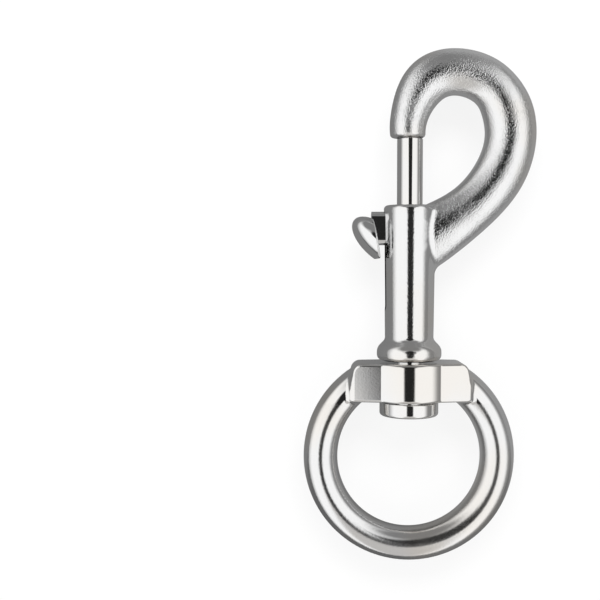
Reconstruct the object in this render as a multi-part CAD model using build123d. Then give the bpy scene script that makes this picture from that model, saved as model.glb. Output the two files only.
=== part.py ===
from build123d import *
import math
import os

# Swivel bolt snap hook, lying flat as it comes to rest.
#
# One casting makes the barrel, the hook above it and the round bead at its foot. A bolt slides in the
# barrel and closes the hook's mouth. A thumb catch on the bolt stands out through a slot in the barrel,
# and a coil spring under the bolt holds it shut. Below the barrel a swivel eye turns on a headed pin
# that is pressed up into the barrel's bore.
#
# Frame, in millimetres: the origin is the centre of the eye. +Y runs up the barrel to the hook, +X is
# the side that the hook bulges to, and +Z is up, square to the plane of the eye.

os.makedirs("parts", exist_ok=True)

# ---- driving dimensions, mm ----
# Swivel eye
EYE_RADIUS = 12.7
WIRE_DIAMETER = 6.0
BOSS_SINK = 2.7
BOSS_HEIGHT = 6.75
BOSS_TOP_HALF_WIDTH = 9.9
BOSS_BOTTOM_HALF_WIDTH = 11.2
BOSS_HALF_DEPTH = 6.2
BOSS_BULGE_RADIUS = 8.4
BOSS_BULGE_HALF_WIDTH = 5.1
BOSS_FLANK_SLOPE = 9.0
BOSS_CORNER_ROUND = 1.7
BOSS_END_ROUND = 1.6
BOSS_EDGE_ROUND = 0.5
BOSS_WAIST_ROUND = 0.9
RING_FILLET = 1.2
RING_SETBACK = 1.0

# Swivel pin
PIN_DIAMETER = 5.6
PIN_HEAD_DIAMETER = 10.4
PIN_HEAD_THICKNESS = 2.5
PIN_HEAD_ROUND = 0.6
PIN_TAIL_LENGTH = 3.8

# Barrel and bead
BARREL_LENGTH = 27.35
BARREL_TOP_DIAMETER = 9.1
BARREL_FOOT_DIAMETER = 8.55
BARREL_RIM_ROUND = 0.7
BEAD_DIAMETER = 11.4
BEAD_HEIGHT = 3.7
BEAD_SHOULDER = 1.5
BEAD_TOP_ROUND = 1.8
BEAD_BOTTOM_ROUND = 1.0
BEAD_FILLET = 1.0

# Bolt, spring and thumb catch
BOLT_DIAMETER = 4.5
BOLT_TAIL = 0.9
BOLT_NOSE_CHAMFER = 0.7
BOLT_TAIL_CHAMFER = 0.3
BOLT_TRAVEL = 11.5
SPRING_WIRE = 0.45
SPRING_TURNS = 7
NECK_HEIGHT = 5.9
NECK_THICKNESS = 2.2
NECK_BITE = 1.5
SLOT_BRIDGE = 1.0
SPIGOT_DIAMETER = 2.0
SPIGOT_DEPTH = 3.2
PAD_REACH = 5.25
PAD_TILT = 10.4
PAD_LENGTH = 8.2
PAD_DROP = 0.05
PAD_EDGE_ROUND = 0.25
DOME_LONG_RADIUS = 6.0
DOME_SHORT_RADIUS = 2.93
DOME_HALF_WIDTH = 3.8
DOME_LEAN = 49.0
DOME_DROP = 2.4

# Hook
MOUTH_HEIGHT = 11.85
TIP_SHIFT = 0.35
TIP_EDGE_ROUND = 0.6
NOSE_SOCKET_DEPTH = 0.9
NOSE_ENTRY = 0.4
ROOT_FILLET = 2.2

# Clearances
RUNNING_CLEARANCE = 0.05
BOLT_CLEARANCE = 0.06
SLOT_CLEARANCE = 0.12
NOSE_CLEARANCE = 0.12
SPRING_CLEARANCE = 0.2
SWIVEL_GAP = 0.3

# ---- places worked out from them ----
BOSS_BOTTOM = EYE_RADIUS - BOSS_SINK
BOSS_TOP = BOSS_BOTTOM + BOSS_HEIGHT
HEAD_TOP = BOSS_BOTTOM - SWIVEL_GAP
HEAD_BOTTOM = HEAD_TOP - PIN_HEAD_THICKNESS
BARREL_FOOT = BOSS_TOP + SWIVEL_GAP
BARREL_TOP = BARREL_FOOT + BARREL_LENGTH
BORE_RADIUS = BOLT_DIAMETER / 2 + BOLT_CLEARANCE
PIN_TOP = BARREL_FOOT + PIN_TAIL_LENGTH
TIP_FACE = BARREL_TOP + MOUTH_HEIGHT
BOLT_TOP = TIP_FACE + NOSE_ENTRY
NECK_TOP = BARREL_TOP - SLOT_BRIDGE - SLOT_CLEARANCE
NECK_MIDDLE = NECK_TOP - NECK_HEIGHT / 2
BOLT_FOOT = NECK_TOP - NECK_HEIGHT - BOLT_TAIL
RING_RADIUS = EYE_RADIUS + WIRE_DIAMETER / 2
RING_END = BOSS_TOP_HALF_WIDTH - RING_SETBACK

# Hook stations, from the tip round to the root inside the barrel. Each is measured from the barrel's
# axis and its top, and gives across, up, half width in the hook's plane and half depth square to it.
HOOK_ROOT_DIRECTION = (-1.0, -0.62)
HOOK_STATIONS = [
    (-TIP_SHIFT, MOUTH_HEIGHT, 3.08, 3.0),
    (-0.2, 15.2, 3.28, 3.1),
    (1.0, 18.8, 3.73, 3.3),
    (4.0, 22.35, 4.13, 3.5),
    (8.4, 23.3, 4.07, 3.6),
    (12.9, 21.95, 4.12, 3.65),
    (16.2, 18.5, 4.32, 3.7),
    (17.65, 13.3, 4.5, 3.7),
    (16.5, 7.1, 4.52, 3.6),
    (13.3, 2.05, 4.46, 3.45),
    (8.7, -2.1, 4.66, 3.3),
    (3.8, -5.2, 5.3, 3.15),
    (0.2, -7.5, 5.4, 3.0),
]


def level(y):
    """A work plane across the barrel's axis at height y, facing +Y."""
    return Plane(origin=(0, y, 0), x_dir=(1, 0, 0), z_dir=(0, 1, 0))


def rod(bottom, top, radius):
    """A round bar on the barrel's axis."""
    return extrude(level(bottom) * Circle(radius), amount=top - bottom)


def hook_bar():
    """The bent bar of the hook, a loft through ellipses along its curved centre line."""
    centres = [(across, BARREL_TOP + up) for across, up, _, _ in HOOK_STATIONS]
    path = Spline(centres, tangents=[(0, 1), HOOK_ROOT_DIRECTION])
    sections = []
    for (across, up), (_, _, width, depth) in zip(centres, HOOK_STATIONS):
        along = path.tangent_at(path.param_at_point((across, up)))
        across_bar = Vector(along.Y, -along.X, 0)
        place = Plane(origin=(across, up, 0), x_dir=across_bar, z_dir=along)
        sections.append(place * Ellipse(width, depth))
    return loft(sections)


def barrel_blank():
    """The barrel and its bead, turned about the Y axis."""
    bead_radius = BEAD_DIAMETER / 2
    foot_corner = (bead_radius, BARREL_FOOT)
    shoulder = (bead_radius, BARREL_FOOT + BEAD_HEIGHT - BEAD_SHOULDER)
    waist = (BARREL_FOOT_DIAMETER / 2, BARREL_FOOT + BEAD_HEIGHT)
    rim = (BARREL_TOP_DIAMETER / 2, BARREL_TOP)
    outline = [(0, BARREL_FOOT), foot_corner, shoulder, waist, rim, (0, BARREL_TOP)]
    rounds = [
        (foot_corner, BEAD_BOTTOM_ROUND),
        (shoulder, BEAD_TOP_ROUND),
        (waist, BEAD_FILLET),
        (rim, BARREL_RIM_ROUND),
    ]
    profile = make_face(Polyline(*outline, close=True))
    for corner, radius in rounds:
        profile = fillet(profile.vertices().sort_by_distance(corner)[0], radius)
    return revolve(profile, Axis.Y)


def hook_body():
    """The casting: barrel, bead and hook in one, bored, slotted and rounded."""
    blank = barrel_blank()
    bar = hook_bar()
    body = blank + bar
    body = fillet(new_edges(blank, bar, combined=body), ROOT_FILLET)
    tip_rim = body.edges().filter_by(lambda edge: abs(edge.center().Y - TIP_FACE) < 0.01)
    body = fillet(tip_rim, TIP_EDGE_ROUND)
    body -= rod(BARREL_FOOT, BARREL_TOP + BORE_RADIUS, BORE_RADIUS)
    body -= rod(TIP_FACE, TIP_FACE + NOSE_SOCKET_DEPTH, BOLT_DIAMETER / 2 + NOSE_CLEARANCE)
    return body - catch_slot()


def catch_slot():
    """The slot in the barrel's side, long enough for the neck and its whole travel."""
    half_width = NECK_THICKNESS / 2 + SLOT_CLEARANCE
    top = NECK_TOP + SLOT_CLEARANCE
    bottom = NECK_TOP - NECK_HEIGHT - BOLT_TRAVEL - SLOT_CLEARANCE
    side = Plane(origin=(0, (top + bottom) / 2, 0), x_dir=(0, 1, 0), z_dir=(-1, 0, 0))
    return extrude(side * SlotOverall(top - bottom, 2 * half_width), amount=BARREL_TOP_DIAMETER)


def plunger():
    """The bolt: a turned pin with a chamfered nose and a cross hole for the catch's spigot."""
    bolt = rod(BOLT_FOOT, BOLT_TOP, BOLT_DIAMETER / 2)
    bolt = chamfer(bolt.edges().group_by(Axis.Y)[-1], BOLT_NOSE_CHAMFER)
    bolt = chamfer(bolt.edges().group_by(Axis.Y)[0], BOLT_TAIL_CHAMFER)
    return bolt - spigot()


def spigot():
    """The round end of the catch that is pressed into the bolt's side."""
    foot = (-BOLT_DIAMETER / 2 + SPIGOT_DEPTH, NECK_MIDDLE, 0)
    side = Plane(origin=foot, x_dir=(0, 1, 0), z_dir=(-1, 0, 0))
    return extrude(side * Circle(SPIGOT_DIAMETER / 2), amount=SPIGOT_DEPTH + NECK_THICKNESS / 2)


def thumb_pad():
    """The thumb pad: a leaning dome, square to its inner face and cut short at its tip."""
    lean = math.radians(PAD_TILT)
    down = Vector(math.sin(lean), -math.cos(lean), 0)
    out = Vector(-math.cos(lean), -math.sin(lean), 0)
    middle = Vector(-PAD_REACH - PAD_LENGTH / 2 * math.sin(lean), NECK_TOP - PAD_DROP - PAD_LENGTH / 2, 0)
    face = Plane(origin=middle, x_dir=down, z_dir=out)
    block = extrude(face * Rectangle(PAD_LENGTH, 4 * DOME_HALF_WIDTH), amount=2 * DOME_LONG_RADIUS)
    dome = scale(Sphere(1), by=(DOME_SHORT_RADIUS, DOME_LONG_RADIUS, DOME_HALF_WIDTH))
    dome = Pos(-PAD_REACH, NECK_MIDDLE - DOME_DROP, 0) * Rot(0, 0, DOME_LEAN) * dome
    pad = block & dome
    return fillet(pad.edges(), PAD_EDGE_ROUND)


def thumb_catch():
    """The catch in one piece: pad, neck and spigot."""
    side = Plane(origin=(-PAD_REACH - NECK_BITE, NECK_MIDDLE, 0), x_dir=(0, 1, 0), z_dir=(1, 0, 0))
    neck = extrude(side * SlotOverall(NECK_HEIGHT, NECK_THICKNESS), amount=PAD_REACH)
    neck -= rod(BOLT_FOOT, BOLT_TOP, BOLT_DIAMETER / 2)
    return thumb_pad() + neck + spigot()


def spring():
    """The compression coil, ground flat at both ends, from the pin's top to the bolt's foot."""
    space = BOLT_FOOT - PIN_TOP
    coil_radius = BORE_RADIUS - SPRING_CLEARANCE - SPRING_WIRE / 2
    pitch = (space + SPRING_WIRE) / SPRING_TURNS
    start = PIN_TOP - SPRING_WIRE / 2
    path = Helix(pitch, space + SPRING_WIRE, coil_radius, center=(0, start, 0), direction=(0, 1, 0))
    section = Plane(origin=path @ 0, z_dir=path % 0) * Circle(SPRING_WIRE / 2)
    coil = sweep(section, path=path, is_frenet=True)
    return coil & rod(PIN_TOP, BOLT_FOOT, BORE_RADIUS)


def swivel_pin():
    """The headed pin: head below the boss, shank through it, tail pressed up the barrel."""
    head = rod(HEAD_BOTTOM, HEAD_TOP, PIN_HEAD_DIAMETER / 2)
    head = fillet(head.edges().group_by(Axis.Y)[0], PIN_HEAD_ROUND)
    head = fillet(head.edges().group_by(Axis.Y)[-1], PIN_HEAD_ROUND / 3)
    shank = rod(HEAD_TOP, BARREL_FOOT, PIN_DIAMETER / 2)
    tail = rod(BARREL_FOOT, PIN_TOP, BORE_RADIUS)
    return head + shank + tail


def boss():
    """The boss: a bulged bar across the ring's top, wider at its foot, with rounded corners."""
    slope = math.tan(math.radians(BOSS_FLANK_SLOPE))
    bulge_centre = BOSS_HALF_DEPTH - BOSS_BULGE_RADIUS
    shoulder_depth = bulge_centre + math.sqrt(BOSS_BULGE_RADIUS**2 - BOSS_BULGE_HALF_WIDTH**2)
    end_depth = shoulder_depth - slope * (BOSS_BOTTOM_HALF_WIDTH - BOSS_BULGE_HALF_WIDTH)
    end = (BOSS_BOTTOM_HALF_WIDTH, end_depth)
    shoulder = (BOSS_BULGE_HALF_WIDTH, shoulder_depth)
    front = [
        Line((-end[0], end[1]), (-shoulder[0], shoulder[1])),
        ThreePointArc((-shoulder[0], shoulder[1]), (0, BOSS_HALF_DEPTH), shoulder),
        Line(shoulder, end),
    ]
    back = [mirror(edge, about=Plane.XZ) for edge in front]
    sides = [Line(end, (end[0], -end[1])), Line((-end[0], end[1]), (-end[0], -end[1]))]
    plan = make_face(front + back + sides)
    plan = fillet(plan.vertices().filter_by(lambda v: abs(v.X) > BOSS_BULGE_HALF_WIDTH + 1), BOSS_END_ROUND)
    plan = fillet(plan.vertices().filter_by(lambda v: abs(abs(v.X) - shoulder[0]) < 0.01), BOSS_WAIST_ROUND)
    bar = extrude(level(BOSS_BOTTOM) * plan, amount=BOSS_HEIGHT)
    front_outline = Polyline(
        (-BOSS_BOTTOM_HALF_WIDTH, BOSS_BOTTOM),
        (BOSS_BOTTOM_HALF_WIDTH, BOSS_BOTTOM),
        (BOSS_TOP_HALF_WIDTH, BOSS_TOP),
        (-BOSS_TOP_HALF_WIDTH, BOSS_TOP),
        close=True,
    )
    front_face = make_face(front_outline)
    top_corners = front_face.vertices().group_by(Axis.Y)[-1]
    front_face = fillet(top_corners, BOSS_CORNER_ROUND)
    bar &= extrude(front_face, amount=BOSS_HALF_DEPTH, both=True)
    levels = bar.edges().group_by(Axis.Y)
    return fillet(levels[0] + levels[-1], BOSS_EDGE_ROUND)


def swivel_eye():
    """The ring and its boss in one, bored for the swivel pin."""
    hidden = Pos(0, BOSS_BOTTOM + RING_RADIUS) * Box(2 * RING_END, 2 * RING_RADIUS, 2 * WIRE_DIAMETER)
    ring = Torus(RING_RADIUS, WIRE_DIAMETER / 2) - hidden
    block = boss()
    eye = ring + block
    eye = fillet(new_edges(ring, block, combined=eye), RING_FILLET)
    return eye - rod(HEAD_TOP, BARREL_FOOT, PIN_DIAMETER / 2 + RUNNING_CLEARANCE)


NODES = {
    "hook_body": hook_body,
    "plunger": plunger,
    "thumb_catch": thumb_catch,
    "spring": spring,
    "swivel_pin": swivel_pin,
    "swivel_eye": swivel_eye,
}

for name, build in NODES.items():
    export_step(build(), f"parts/{name}.step")
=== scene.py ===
"""Looks of a swivel bolt snap hook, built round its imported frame.

The frame holds the castings, the bolt, the catch and the swivel pin at their real size. This script
gives each its finish, winds the return spring, and sets a plain studio round the part. Lengths are in
metres, +Y runs up the barrel to the hook and +Z is up off the floor.
"""

import logging
import math
from dataclasses import dataclass
from enum import Enum

import bpy
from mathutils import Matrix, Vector


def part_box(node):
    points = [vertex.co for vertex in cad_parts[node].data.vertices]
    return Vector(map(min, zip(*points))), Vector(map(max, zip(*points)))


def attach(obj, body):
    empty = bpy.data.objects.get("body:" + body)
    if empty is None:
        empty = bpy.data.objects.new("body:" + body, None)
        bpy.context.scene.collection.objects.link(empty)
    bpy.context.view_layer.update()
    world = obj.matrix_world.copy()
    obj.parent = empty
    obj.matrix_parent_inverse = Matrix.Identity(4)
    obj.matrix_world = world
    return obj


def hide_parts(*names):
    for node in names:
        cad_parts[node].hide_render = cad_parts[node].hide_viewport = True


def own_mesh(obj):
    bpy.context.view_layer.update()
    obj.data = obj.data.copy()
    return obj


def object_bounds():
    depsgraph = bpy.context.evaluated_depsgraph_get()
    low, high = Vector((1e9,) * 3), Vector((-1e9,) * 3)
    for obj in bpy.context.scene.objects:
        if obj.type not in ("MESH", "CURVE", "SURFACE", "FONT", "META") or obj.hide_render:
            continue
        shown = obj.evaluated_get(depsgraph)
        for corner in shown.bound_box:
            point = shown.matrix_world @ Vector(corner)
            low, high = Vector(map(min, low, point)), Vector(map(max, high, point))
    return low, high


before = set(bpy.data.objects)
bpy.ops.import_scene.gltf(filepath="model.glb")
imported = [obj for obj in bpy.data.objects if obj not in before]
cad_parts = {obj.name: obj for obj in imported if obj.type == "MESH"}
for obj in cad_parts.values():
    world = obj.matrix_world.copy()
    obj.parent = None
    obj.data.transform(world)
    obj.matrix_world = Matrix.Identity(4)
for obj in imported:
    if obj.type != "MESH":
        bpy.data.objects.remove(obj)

CAD_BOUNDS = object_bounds()
LOG = logging.getLogger("snap_hook")
MM = 0.001
WELD = 1e-7

Socket = bpy.types.NodeSocket
Value = Socket | float


class Axis(Enum):
    """The part's own directions, as places in a vector."""

    ACROSS = 0
    ALONG = 1
    UP = 2


class NodeBench:
    """Lays shader nodes in one tree and joins them up."""

    def __init__(self, tree: bpy.types.NodeTree) -> None:
        """Takes the tree to work in.

        Args:
            tree: the shader node tree that gets the nodes.
        """
        self.tree = tree

    def add(self, kind: str, **settings: object) -> bpy.types.Node:
        """Adds a node and sets its properties.

        Args:
            kind: the node's type, without its ShaderNode prefix.
            settings: properties of the node and their values.

        Returns:
            The new node.
        """
        node = self.tree.nodes.new("ShaderNode" + kind)
        for name, value in settings.items():
            setattr(node, name, value)
        return node

    def feed(self, target: Socket, source: Value) -> None:
        """Links a socket to its target, or sets the target to a plain number."""
        if isinstance(source, bpy.types.NodeSocket):
            self.tree.links.new(source, target)
        else:
            target.default_value = source

    def math(self, operation: str, first: Value, second: Value = 0.0, clamp: bool = False) -> Socket:
        """Adds one arithmetic step.

        Args:
            operation: the Math node's operation.
            first: its first operand.
            second: its second operand, where it has one.
            clamp: whether the result is held between 0 and 1.

        Returns:
            The result's socket.
        """
        node = self.add("Math", operation=operation, use_clamp=clamp)
        self.feed(node.inputs[0], first)
        self.feed(node.inputs[1], second)
        return node.outputs[0]

    def ramp(self, value: Value, low: float, high: float, start: float = 0.0, end: float = 1.0) -> Socket:
        """Maps a value smoothly from one range to another.

        Args:
            value: what is mapped.
            low: where the change begins.
            high: where the change ends.
            start: the result below low.
            end: the result above high.

        Returns:
            The result's socket.
        """
        node = self.add("MapRange", interpolation_type="SMOOTHSTEP")
        self.feed(node.inputs["Value"], value)
        node.inputs["From Min"].default_value = low
        node.inputs["From Max"].default_value = high
        node.inputs["To Min"].default_value = start
        node.inputs["To Max"].default_value = end
        return node.outputs["Result"]

    def blend(self, amount: Value, first: Value | tuple, second: Value | tuple) -> Socket:
        """Mixes two colours.

        Args:
            amount: 0 gives the first colour and 1 the second.
            first: a colour socket, or red, green, blue and alpha.
            second: the same for the other colour.

        Returns:
            The mixed colour's socket.
        """
        node = self.add("Mix", data_type="RGBA")
        self.feed(node.inputs["Factor"], amount)
        for name, colour in (("A", first), ("B", second)):
            socket = next(s for s in node.inputs if s.name == name and s.type == "RGBA")
            self.feed(socket, colour)
        return next(s for s in node.outputs if s.type == "RGBA")

    def noise(self, vector: Socket, scale: float, detail: float = 2.0, roughness: float = 0.5) -> Socket:
        """Adds a noise texture and returns its value.

        Args:
            vector: the coordinates that it reads.
            scale: how many times it repeats in a metre.
            detail: how many finer layers it has.
            roughness: how strong the finer layers are.

        Returns:
            The noise value's socket.
        """
        node = self.add("TexNoise")
        self.feed(node.inputs["Vector"], vector)
        node.inputs["Scale"].default_value = scale
        node.inputs["Detail"].default_value = detail
        node.inputs["Roughness"].default_value = roughness
        return node.outputs[0]


class GroupShop:
    """Builds the node groups that the finishes share, each of them once."""

    def __init__(self) -> None:
        """Builds both groups."""
        self.grain = self.plating_grain()
        self.handling = self.handling_marks()

    @staticmethod
    def start(name: str, inputs: dict[str, float], outputs: dict[str, str]) -> tuple:
        """Starts a group with its sockets.

        Args:
            name: the group's name.
            inputs: number inputs and their defaults. A Vector input is always added first.
            outputs: output names and socket types.

        Returns:
            The group, its node bench, its input node and its output node.
        """
        group = bpy.data.node_groups.new(name, "ShaderNodeTree")
        group.interface.new_socket("Vector", in_out="INPUT", socket_type="NodeSocketVector")
        for socket_name, default in inputs.items():
            socket = group.interface.new_socket(socket_name, in_out="INPUT", socket_type="NodeSocketFloat")
            socket.default_value = default
        for socket_name, kind in outputs.items():
            group.interface.new_socket(socket_name, in_out="OUTPUT", socket_type=kind)
        entry = group.nodes.new("NodeGroupInput")
        leave = group.nodes.new("NodeGroupOutput")
        return group, NodeBench(group), entry, leave

    def plating_grain(self) -> bpy.types.NodeTree:
        """The fine pebble of a tumbled casting under its plating, as a height."""
        group, bench, entry, leave = self.start(
            "plating_grain", {"Size": 3200.0, "Amount": 1.0}, {"Height": "NodeSocketFloat"}
        )
        fine = bench.add("TexNoise")
        bench.feed(fine.inputs["Vector"], entry.outputs["Vector"])
        bench.feed(fine.inputs["Scale"], entry.outputs["Size"])
        fine.inputs["Detail"].default_value = 1.5
        slow = bench.noise(entry.outputs["Vector"], 160.0, 2.0)
        patchy = bench.ramp(slow, 0.3, 0.7, 0.6, 1.0)
        shaped = bench.math("MULTIPLY", fine.outputs[0], patchy)
        height = bench.math("MULTIPLY", shaped, entry.outputs["Amount"])
        bench.feed(leave.inputs["Height"], height)
        return group

    def handling_marks(self) -> bpy.types.NodeTree:
        """Faint smears and rub marks, as masks for roughness and tint."""
        group, bench, entry, leave = self.start(
            "handling_marks", {"Spread": 90.0}, {"Smear": "NodeSocketFloat", "Warmth": "NodeSocketFloat"}
        )
        smear = bench.add("TexNoise")
        bench.feed(smear.inputs["Vector"], entry.outputs["Vector"])
        bench.feed(smear.inputs["Scale"], entry.outputs["Spread"])
        smear.inputs["Detail"].default_value = 5.0
        smear.inputs["Roughness"].default_value = 0.65
        bench.feed(leave.inputs["Smear"], bench.ramp(smear.outputs[0], 0.35, 0.7))
        cloud = bench.noise(entry.outputs["Vector"], 55.0, 2.0)
        bench.feed(leave.inputs["Warmth"], bench.ramp(cloud, 0.46, 0.66))
        return group


@dataclass(frozen=True)
class Nickel:
    """One nickel finish: its colour, how sharply it mirrors and how grainy it is."""

    name: str
    roughness: float
    smear_roughness: float
    grain_size: float
    grain_depth: float
    colour: tuple[float, float, float, float] = (0.80, 0.80, 0.80, 1.0)
    warm: tuple[float, float, float, float] = (0.80, 0.775, 0.74, 1.0)

    def surface(self, bench: NodeBench, groups: GroupShop, place: Socket) -> tuple[Socket, Socket, Socket]:
        """Lays the nodes of this finish.

        Args:
            bench: the material's node bench.
            groups: the shared node groups.
            place: the Object coordinates.

        Returns:
            The sockets of its colour, its roughness and its grain height in metres.
        """
        marks = bench.add("Group", node_tree=groups.handling)
        bench.feed(marks.inputs["Vector"], place)
        colour = bench.blend(marks.outputs["Warmth"], self.colour, self.warm)
        roughness = bench.ramp(marks.outputs["Smear"], 0.0, 1.0, self.roughness, self.smear_roughness)
        grain = bench.add("Group", node_tree=groups.grain)
        bench.feed(grain.inputs["Vector"], place)
        grain.inputs["Size"].default_value = self.grain_size
        grain.inputs["Amount"].default_value = self.grain_depth
        return colour, roughness, grain.outputs["Height"]


SATIN = Nickel("satin_nickel", 0.10, 0.14, 4300.0, 0.000080)
TURNED = Nickel("turned_nickel", 0.11, 0.15, 2600.0, 0.000012)
POLISHED = Nickel("polished_nickel", 0.045, 0.08, 2600.0, 0.0000012)
SOFT_RING = Nickel("soft_ring", 0.15, 0.20, 2600.0, 0.000010)
BRIGHT_WIRE = Nickel("bright_wire", 0.22, 0.3, 5200.0, 0.000003, (0.56, 0.56, 0.57, 1.0))


@dataclass(frozen=True)
class Dressing:
    """A material of one finish, or of two that meet along a soft border in the part's own frame."""

    name: str
    main: Nickel
    other: Nickel | None = None
    borders: tuple[tuple[Axis, float, float], ...] = ()

    def make(self, groups: GroupShop) -> bpy.types.Material:
        """Builds the material.

        Args:
            groups: the shared node groups.

        Returns:
            The finished material.
        """
        material = bpy.data.materials.new(self.name)
        material.use_nodes = True
        bench = NodeBench(material.node_tree)
        shader = material.node_tree.nodes["Principled BSDF"]
        shader.inputs["Metallic"].default_value = 1.0
        place = bench.add("TexCoord").outputs["Object"]
        colour, roughness, height = self.main.surface(bench, groups, place)
        if self.other is not None:
            mask = self.border(bench, place)
            next_colour, next_roughness, next_height = self.other.surface(bench, groups, place)
            colour = bench.blend(mask, colour, next_colour)
            roughness = self.crossfade(bench, mask, roughness, next_roughness)
            height = self.crossfade(bench, mask, height, next_height)
        bump = bench.add("Bump")
        bump.inputs["Strength"].default_value = 1.0
        bump.inputs["Distance"].default_value = 1.0
        bench.feed(bump.inputs["Height"], height)
        bench.feed(shader.inputs["Base Color"], colour)
        bench.feed(shader.inputs["Roughness"], roughness)
        bench.feed(shader.inputs["Normal"], bump.outputs["Normal"])
        return material

    def border(self, bench: NodeBench, place: Socket) -> Socket:
        """The mask of the other finish: 1 past any of the borders."""
        split = bench.add("SeparateXYZ")
        bench.feed(split.inputs[0], place)
        mask: Value = 0.0
        for axis, low, high in self.borders:
            mask = bench.math("MAXIMUM", mask, bench.ramp(split.outputs[axis.value], low, high))
        return mask

    @staticmethod
    def crossfade(bench: NodeBench, mask: Socket, first: Socket, second: Socket) -> Socket:
        """Mixes two values by a mask."""
        node = bench.add("Mix", data_type="FLOAT")
        bench.feed(node.inputs[0], mask)
        bench.feed(node.inputs[2], first)
        bench.feed(node.inputs[3], second)
        return node.outputs[0]


def dress(node: str, material: bpy.types.Material) -> None:
    """Gives a frame node its material.

    Args:
        node: the node's name.
        material: what it wears.
    """
    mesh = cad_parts[node].data
    mesh.materials.clear()
    mesh.materials.append(material)
    LOG.info("dressed %s in %s", node, material.name)


@dataclass
class Casting:
    """The cast hook and barrel: turned smooth on the barrel, grainy satin on the hook."""

    node: str = "hook_body"
    crease: float = 3.4 * MM
    blend: float = 1.4 * MM
    above_catch: float = 1.0 * MM

    def dress(self, groups: GroupShop) -> None:
        """Gives the casting its two finishes, which meet at the crease and just above the catch.

        Args:
            groups: the shared node groups.
        """
        barrel_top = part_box("thumb_catch")[1][1] + self.above_catch
        borders = (
            (Axis.ACROSS, self.crease, self.crease + self.blend),
            (Axis.ALONG, barrel_top, barrel_top + self.blend),
        )
        dress(self.node, Dressing("casting", TURNED, SATIN, borders).make(groups))


@dataclass
class Bolt:
    """The sliding bolt and its thumb catch, both polished."""

    nodes: tuple[str, ...] = ("plunger", "thumb_catch")

    def dress(self, groups: GroupShop) -> None:
        """Gives both pieces the polished finish.

        Args:
            groups: the shared node groups.
        """
        material = Dressing("bolt_polish", POLISHED).make(groups)
        for node in self.nodes:
            dress(node, material)


@dataclass
class Swivel:
    """The headed pin and the eye that turns on it: a mirror boss on a satin ring."""

    ring_top: float = 9.4 * MM
    blend: float = 0.5 * MM

    def dress(self, groups: GroupShop) -> None:
        """Gives the pin and the eye their finishes.

        Args:
            groups: the shared node groups.
        """
        borders = ((Axis.ALONG, self.ring_top, self.ring_top + self.blend),)
        dress("swivel_eye", Dressing("eye_metal", SOFT_RING, POLISHED, borders).make(groups))
        dress("swivel_pin", Dressing("pin_polish", POLISHED).make(groups))


@dataclass
class ReturnSpring:
    """The coil under the bolt, wound as one bar with capped ends."""

    wire: float = 0.45 * MM
    turns: int = 7
    section_sides: int = 12
    steps_per_turn: int = 40
    smooth_angle: float = math.radians(40)

    def build(self) -> bpy.types.Object:
        """Winds the spring in the room that the frame leaves for it.

        Returns:
            The spring's object.
        """
        low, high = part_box("spring")
        radius = (high[0] - low[0]) / 2 - self.wire / 2
        room = high[1] - low[1]
        pitch = (room - self.wire) / self.turns
        bpy.ops.object.select_all(action="DESELECT")
        bpy.ops.mesh.primitive_circle_add(
            vertices=self.section_sides,
            radius=self.wire / 2,
            location=(radius, low[1] + self.wire / 2, 0.0),
        )
        coil = bpy.context.object
        coil.name = "return_spring"
        bpy.ops.object.transform_apply(location=True, rotation=True, scale=True)
        screw = coil.modifiers.new("wind", "SCREW")
        screw.axis = "Y"
        screw.angle = 2 * math.pi
        screw.screw_offset = pitch
        screw.iterations = self.turns
        screw.steps = self.steps_per_turn
        screw.render_steps = self.steps_per_turn
        screw.use_merge_vertices = True
        screw.merge_threshold = WELD
        bpy.ops.object.modifier_apply(modifier=screw.name)
        bpy.ops.object.mode_set(mode="EDIT")
        bpy.ops.mesh.select_all(action="SELECT")
        bpy.ops.mesh.remove_doubles(threshold=WELD)
        bpy.ops.mesh.select_all(action="DESELECT")
        bpy.ops.mesh.select_mode(type="EDGE")
        bpy.ops.mesh.select_non_manifold()
        bpy.ops.mesh.edge_face_add()
        bpy.ops.mesh.select_all(action="SELECT")
        bpy.ops.mesh.normals_make_consistent(inside=False)
        bpy.ops.object.mode_set(mode="OBJECT")
        bpy.ops.object.shade_smooth_by_angle(angle=self.smooth_angle)
        return coil

    def fit(self, coil: bpy.types.Object, groups: GroupShop) -> None:
        """Dresses the spring and rides it on the hook.

        Args:
            coil: the wound spring.
            groups: the shared node groups.
        """
        coil.data.materials.append(Dressing("spring_wire", BRIGHT_WIRE).make(groups))
        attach(coil, "hook")
        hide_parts("spring")
        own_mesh(coil)
        LOG.info("wound %s", coil.name)


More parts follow.
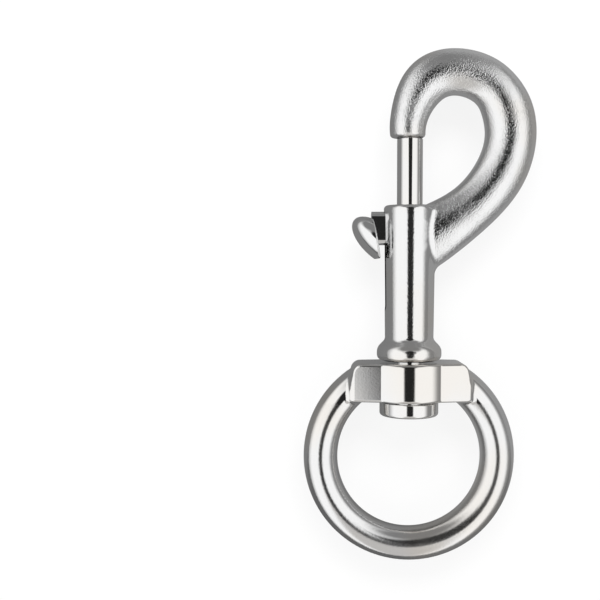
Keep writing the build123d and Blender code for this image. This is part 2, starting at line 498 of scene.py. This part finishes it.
@dataclass
class Studio:
    """The floor, the soft surroundings and the camera."""

    distance: float = 171.9 * MM
    lens: float = 58.3
    sensor: float = 36.0
    camera_across: float = -19.35 * MM
    camera_along: float = 34.95 * MM
    aim_along: float = 27.7 * MM
    dark_core: tuple[float, float] = (11.3, 16.0)
    core_glow: float = 0.02
    core_squash: float = 0.6
    core_shrink: float = 0.62
    shrink_by: float = 12.0
    head_fade: tuple[float, float] = (28.0, 52.0)
    foot_fade: tuple[float, float] = (48.0, 66.0)
    head_far: tuple[float, float] = (24.0, 44.0)
    right_fade: tuple[float, float] = (54.0, 78.0)
    left_fade: tuple[float, float] = (-62.0, -98.0)
    head_near_share: float = 2.8
    foot_warmth: float = 0.95
    side_glow: float = 1.14
    head_glow: float = 0.24
    foot_glow: float = 0.6
    rim_glow: float = 0.27
    core_turn: float = -1.5
    floor_size: float = 4.0
    # Painted reflection shade on the floor as glossy rays see it: its strength from left to right, where
    # it brightens past the hook's head, and where it darkens towards the eye's foot.
    painted_reflection_levels: tuple[float, float] = (0.18, 0.30)
    painted_reflection_across: tuple[float, float] = (-4.0 * MM, 12.0 * MM)
    painted_reflection_head: tuple[float, float] = (66.0 * MM, 78.0 * MM)
    painted_reflection_foot: tuple[float, float] = (-16.0 * MM, -2.0 * MM)
    head_share: float = 1.2
    foot_share: float = 0.4
    seen_glow: float = 1.04
    seen_share: float = 0.78
    mirror_share: float = 0.92
    lamp_place: tuple[float, float, float] = (0.0, 0.45, 0.45)
    lamp_aim: tuple[float, float, float] = (0.0, 0.03, 0.0)
    lamp_size: tuple[float, float] = (0.5, 0.25)
    lamp_energy: float = 3.0

    def light(self) -> None:
        """Surrounds the part with two broad white sides, a grey head and foot, and a dark middle."""
        world = bpy.data.worlds.new("studio")
        bpy.context.scene.world = world
        world.use_nodes = True
        bench = NodeBench(world.node_tree)
        split = bench.add("SeparateXYZ")
        bench.feed(split.inputs[0], bench.add("TexCoord").outputs["Generated"])
        across, along, up = split.outputs
        turn = bench.math("ARCTAN2", across, up)
        turn = bench.math("SUBTRACT", turn, math.radians(self.core_turn))
        lift = bench.math("ARCSINE", along)
        wide = bench.math("ABSOLUTE", turn)
        high = bench.math("ABSOLUTE", lift)
        tall = bench.math("MULTIPLY", lift, self.core_squash)
        squares = bench.math("ADD", bench.math("POWER", turn, 2.0), bench.math("POWER", tall, 2.0))
        shrink = bench.ramp(lift, 0.0, math.radians(self.shrink_by), 1.0, self.core_shrink)
        reach = bench.math("MULTIPLY", bench.math("SQRT", squares), shrink)
        lean = bench.math("ARCTAN2", high, wide)
        head = bench.ramp(lift, -0.04, 0.04)
        head_share = bench.ramp(lean, *self.angles(self.head_fade))
        foot_share = bench.ramp(lean, *self.angles(self.foot_fade))
        far = bench.ramp(lift, *self.angles(self.head_far))
        near_tone = self.grey(self.head_glow * self.head_near_share)
        head_tone = bench.blend(far, near_tone, self.grey(self.head_glow))
        sides = self.side_walls(bench, turn)
        head_half = bench.blend(head_share, sides, head_tone)
        foot_half = bench.blend(foot_share, sides, self.grey(self.foot_glow, self.foot_warmth))
        glow = bench.blend(head, foot_half, head_half)
        core = bench.ramp(reach, *self.angles(self.dark_core))
        glow = bench.blend(core, self.grey(self.core_glow), glow)
        background = world.node_tree.nodes["Background"]
        bench.feed(background.inputs["Color"], glow)

    def side_walls(self, bench: NodeBench, turn: Socket) -> Socket:
        """The white walls at both sides, which turn grey towards the horizon.

        Args:
            bench: the world's node bench.
            turn: the direction's angle round the barrel's axis, negative to the left.

        Returns:
            The walls' colour.
        """
        right = bench.ramp(turn, *self.angles(self.right_fade))
        wall = bench.blend(right, self.grey(self.side_glow), self.grey(self.rim_glow))
        left = bench.ramp(turn, *self.angles(self.left_fade))
        return bench.blend(left, wall, self.grey(self.rim_glow))

    @staticmethod
    def angles(degrees: tuple[float, float]) -> tuple[float, float]:
        """The same two angles in radians."""
        return math.radians(degrees[0]), math.radians(degrees[1])

    @staticmethod
    def grey(level: float, warmth: float = 1.0) -> tuple[float, float, float, float]:
        """A grey of a given level, warmer as warmth falls below 1."""
        return (level, level * (1 + warmth) / 2, level * warmth, 1.0)

    def lay_floor(self) -> None:
        """Lays a pale floor that the part rests on and casts its shadow on. In reflections it carries
        painted shade: dimmer than the camera sees it, darker to the left and towards the eye's foot,
        brighter past the hook's head.
        """
        bottom = CAD_BOUNDS[0][2]
        bpy.ops.object.select_all(action="DESELECT")
        bpy.ops.mesh.primitive_plane_add(size=self.floor_size, location=(0, 0, bottom))
        floor = bpy.context.object
        floor.name = "floor"
        material = bpy.data.materials.new("pale_floor")
        material.use_nodes = True
        bench = NodeBench(material.node_tree)
        shader = material.node_tree.nodes["Principled BSDF"]
        shader.inputs["Roughness"].default_value = 0.9
        shader.inputs["Specular IOR Level"].default_value = 0.0
        place = bench.add("TexCoord").outputs["Object"]
        mottle = bench.ramp(bench.noise(place, 6.0), 0.3, 0.7)
        paper = bench.blend(mottle, (0.80, 0.80, 0.80, 1.0), (0.82, 0.82, 0.82, 1.0))
        bench.feed(shader.inputs["Base Color"], paper)
        path = bench.add("LightPath")
        seen = bench.math("MULTIPLY", path.outputs["Is Camera Ray"], self.seen_glow)
        split = bench.add("SeparateXYZ")
        bench.feed(split.inputs[0], place)
        # Painted reflection shade: in reflections the floor is dimmer than the camera sees it, darker to
        # the left and towards the eye's foot, brighter past the hook's head.
        across = bench.ramp(split.outputs[0], *self.painted_reflection_across, *self.painted_reflection_levels)
        beyond = bench.ramp(split.outputs[1], *self.painted_reflection_head, 1.0, self.head_share)
        foot = bench.ramp(split.outputs[1], *self.painted_reflection_foot, self.foot_share, 1.0)
        ends = bench.math("MULTIPLY", beyond, foot)
        painted_reflection_strength = bench.math("MULTIPLY", across, ends)
        mirrored = bench.math("MULTIPLY", path.outputs["Is Glossy Ray"], painted_reflection_strength)
        through = path.outputs["Is Transmission Ray"]
        strength = bench.math("ADD", bench.math("ADD", seen, mirrored), through)
        emission = bench.add("Emission")
        bench.feed(emission.inputs["Strength"], strength)
        mix = bench.add("MixShader")
        output = material.node_tree.nodes["Material Output"]
        mirror_part = bench.math("MULTIPLY", path.outputs["Is Glossy Ray"], self.mirror_share)
        seen_part = bench.math("MULTIPLY", bench.math("ADD", seen, through), self.seen_share)
        share = bench.math("MAXIMUM", mirror_part, seen_part, True)
        bench.feed(mix.inputs[0], share)
        bench.feed(mix.inputs[1], shader.outputs[0])
        bench.feed(mix.inputs[2], emission.outputs[0])
        bench.feed(output.inputs["Surface"], mix.outputs[0])
        floor.data.materials.append(material)

    def hang_lamp(self) -> None:
        """Hangs one broad lamp past the hook's end, so that the shadow falls towards the eye."""
        lamp = bpy.data.lights.new("head_lamp", "AREA")
        lamp.shape = "RECTANGLE"
        lamp.size, lamp.size_y = self.lamp_size
        lamp.energy = self.lamp_energy
        holder = bpy.data.objects.new("head_lamp", lamp)
        holder.location = self.lamp_place
        direction = Vector(self.lamp_aim) - holder.location
        holder.rotation_euler = direction.to_track_quat("-Z", "Y").to_euler()
        holder.visible_glossy = False
        bpy.context.scene.collection.objects.link(holder)

    def place_camera(self) -> None:
        """Hangs the camera over the part, with the hook at the top of the frame."""
        data = bpy.data.cameras.new("camera")
        data.sensor_width = self.sensor
        data.lens = self.lens
        data.clip_start = 0.005
        camera = bpy.data.objects.new("camera", data)
        eye = Vector((self.camera_across, self.camera_along, self.distance))
        aim = Vector((self.camera_across, self.aim_along, 0.0))
        camera.location = eye
        camera.rotation_euler = (-math.atan2(eye.y - aim.y, eye.z), 0.0, 0.0)
        bpy.context.scene.collection.objects.link(camera)
        bpy.context.scene.camera = camera

    def build(self) -> None:
        """Builds the whole studio."""
        self.place_camera()
        self.light()
        self.lay_floor()
        self.hang_lamp()
        bpy.context.scene.view_settings.view_transform = "Standard"
        LOG.info("studio is set")


def main() -> None:
    """Builds the looks in order: studio, spring, then each sub-assembly's finish."""
    logging.basicConfig(level=logging.INFO)
    Studio().build()
    groups = GroupShop()
    spring = ReturnSpring()
    spring.fit(spring.build(), groups)
    for assembly in (Casting(), Bolt(), Swivel()):
        assembly.dress(groups)
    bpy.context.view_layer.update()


if __name__ == "__main__":
    main()
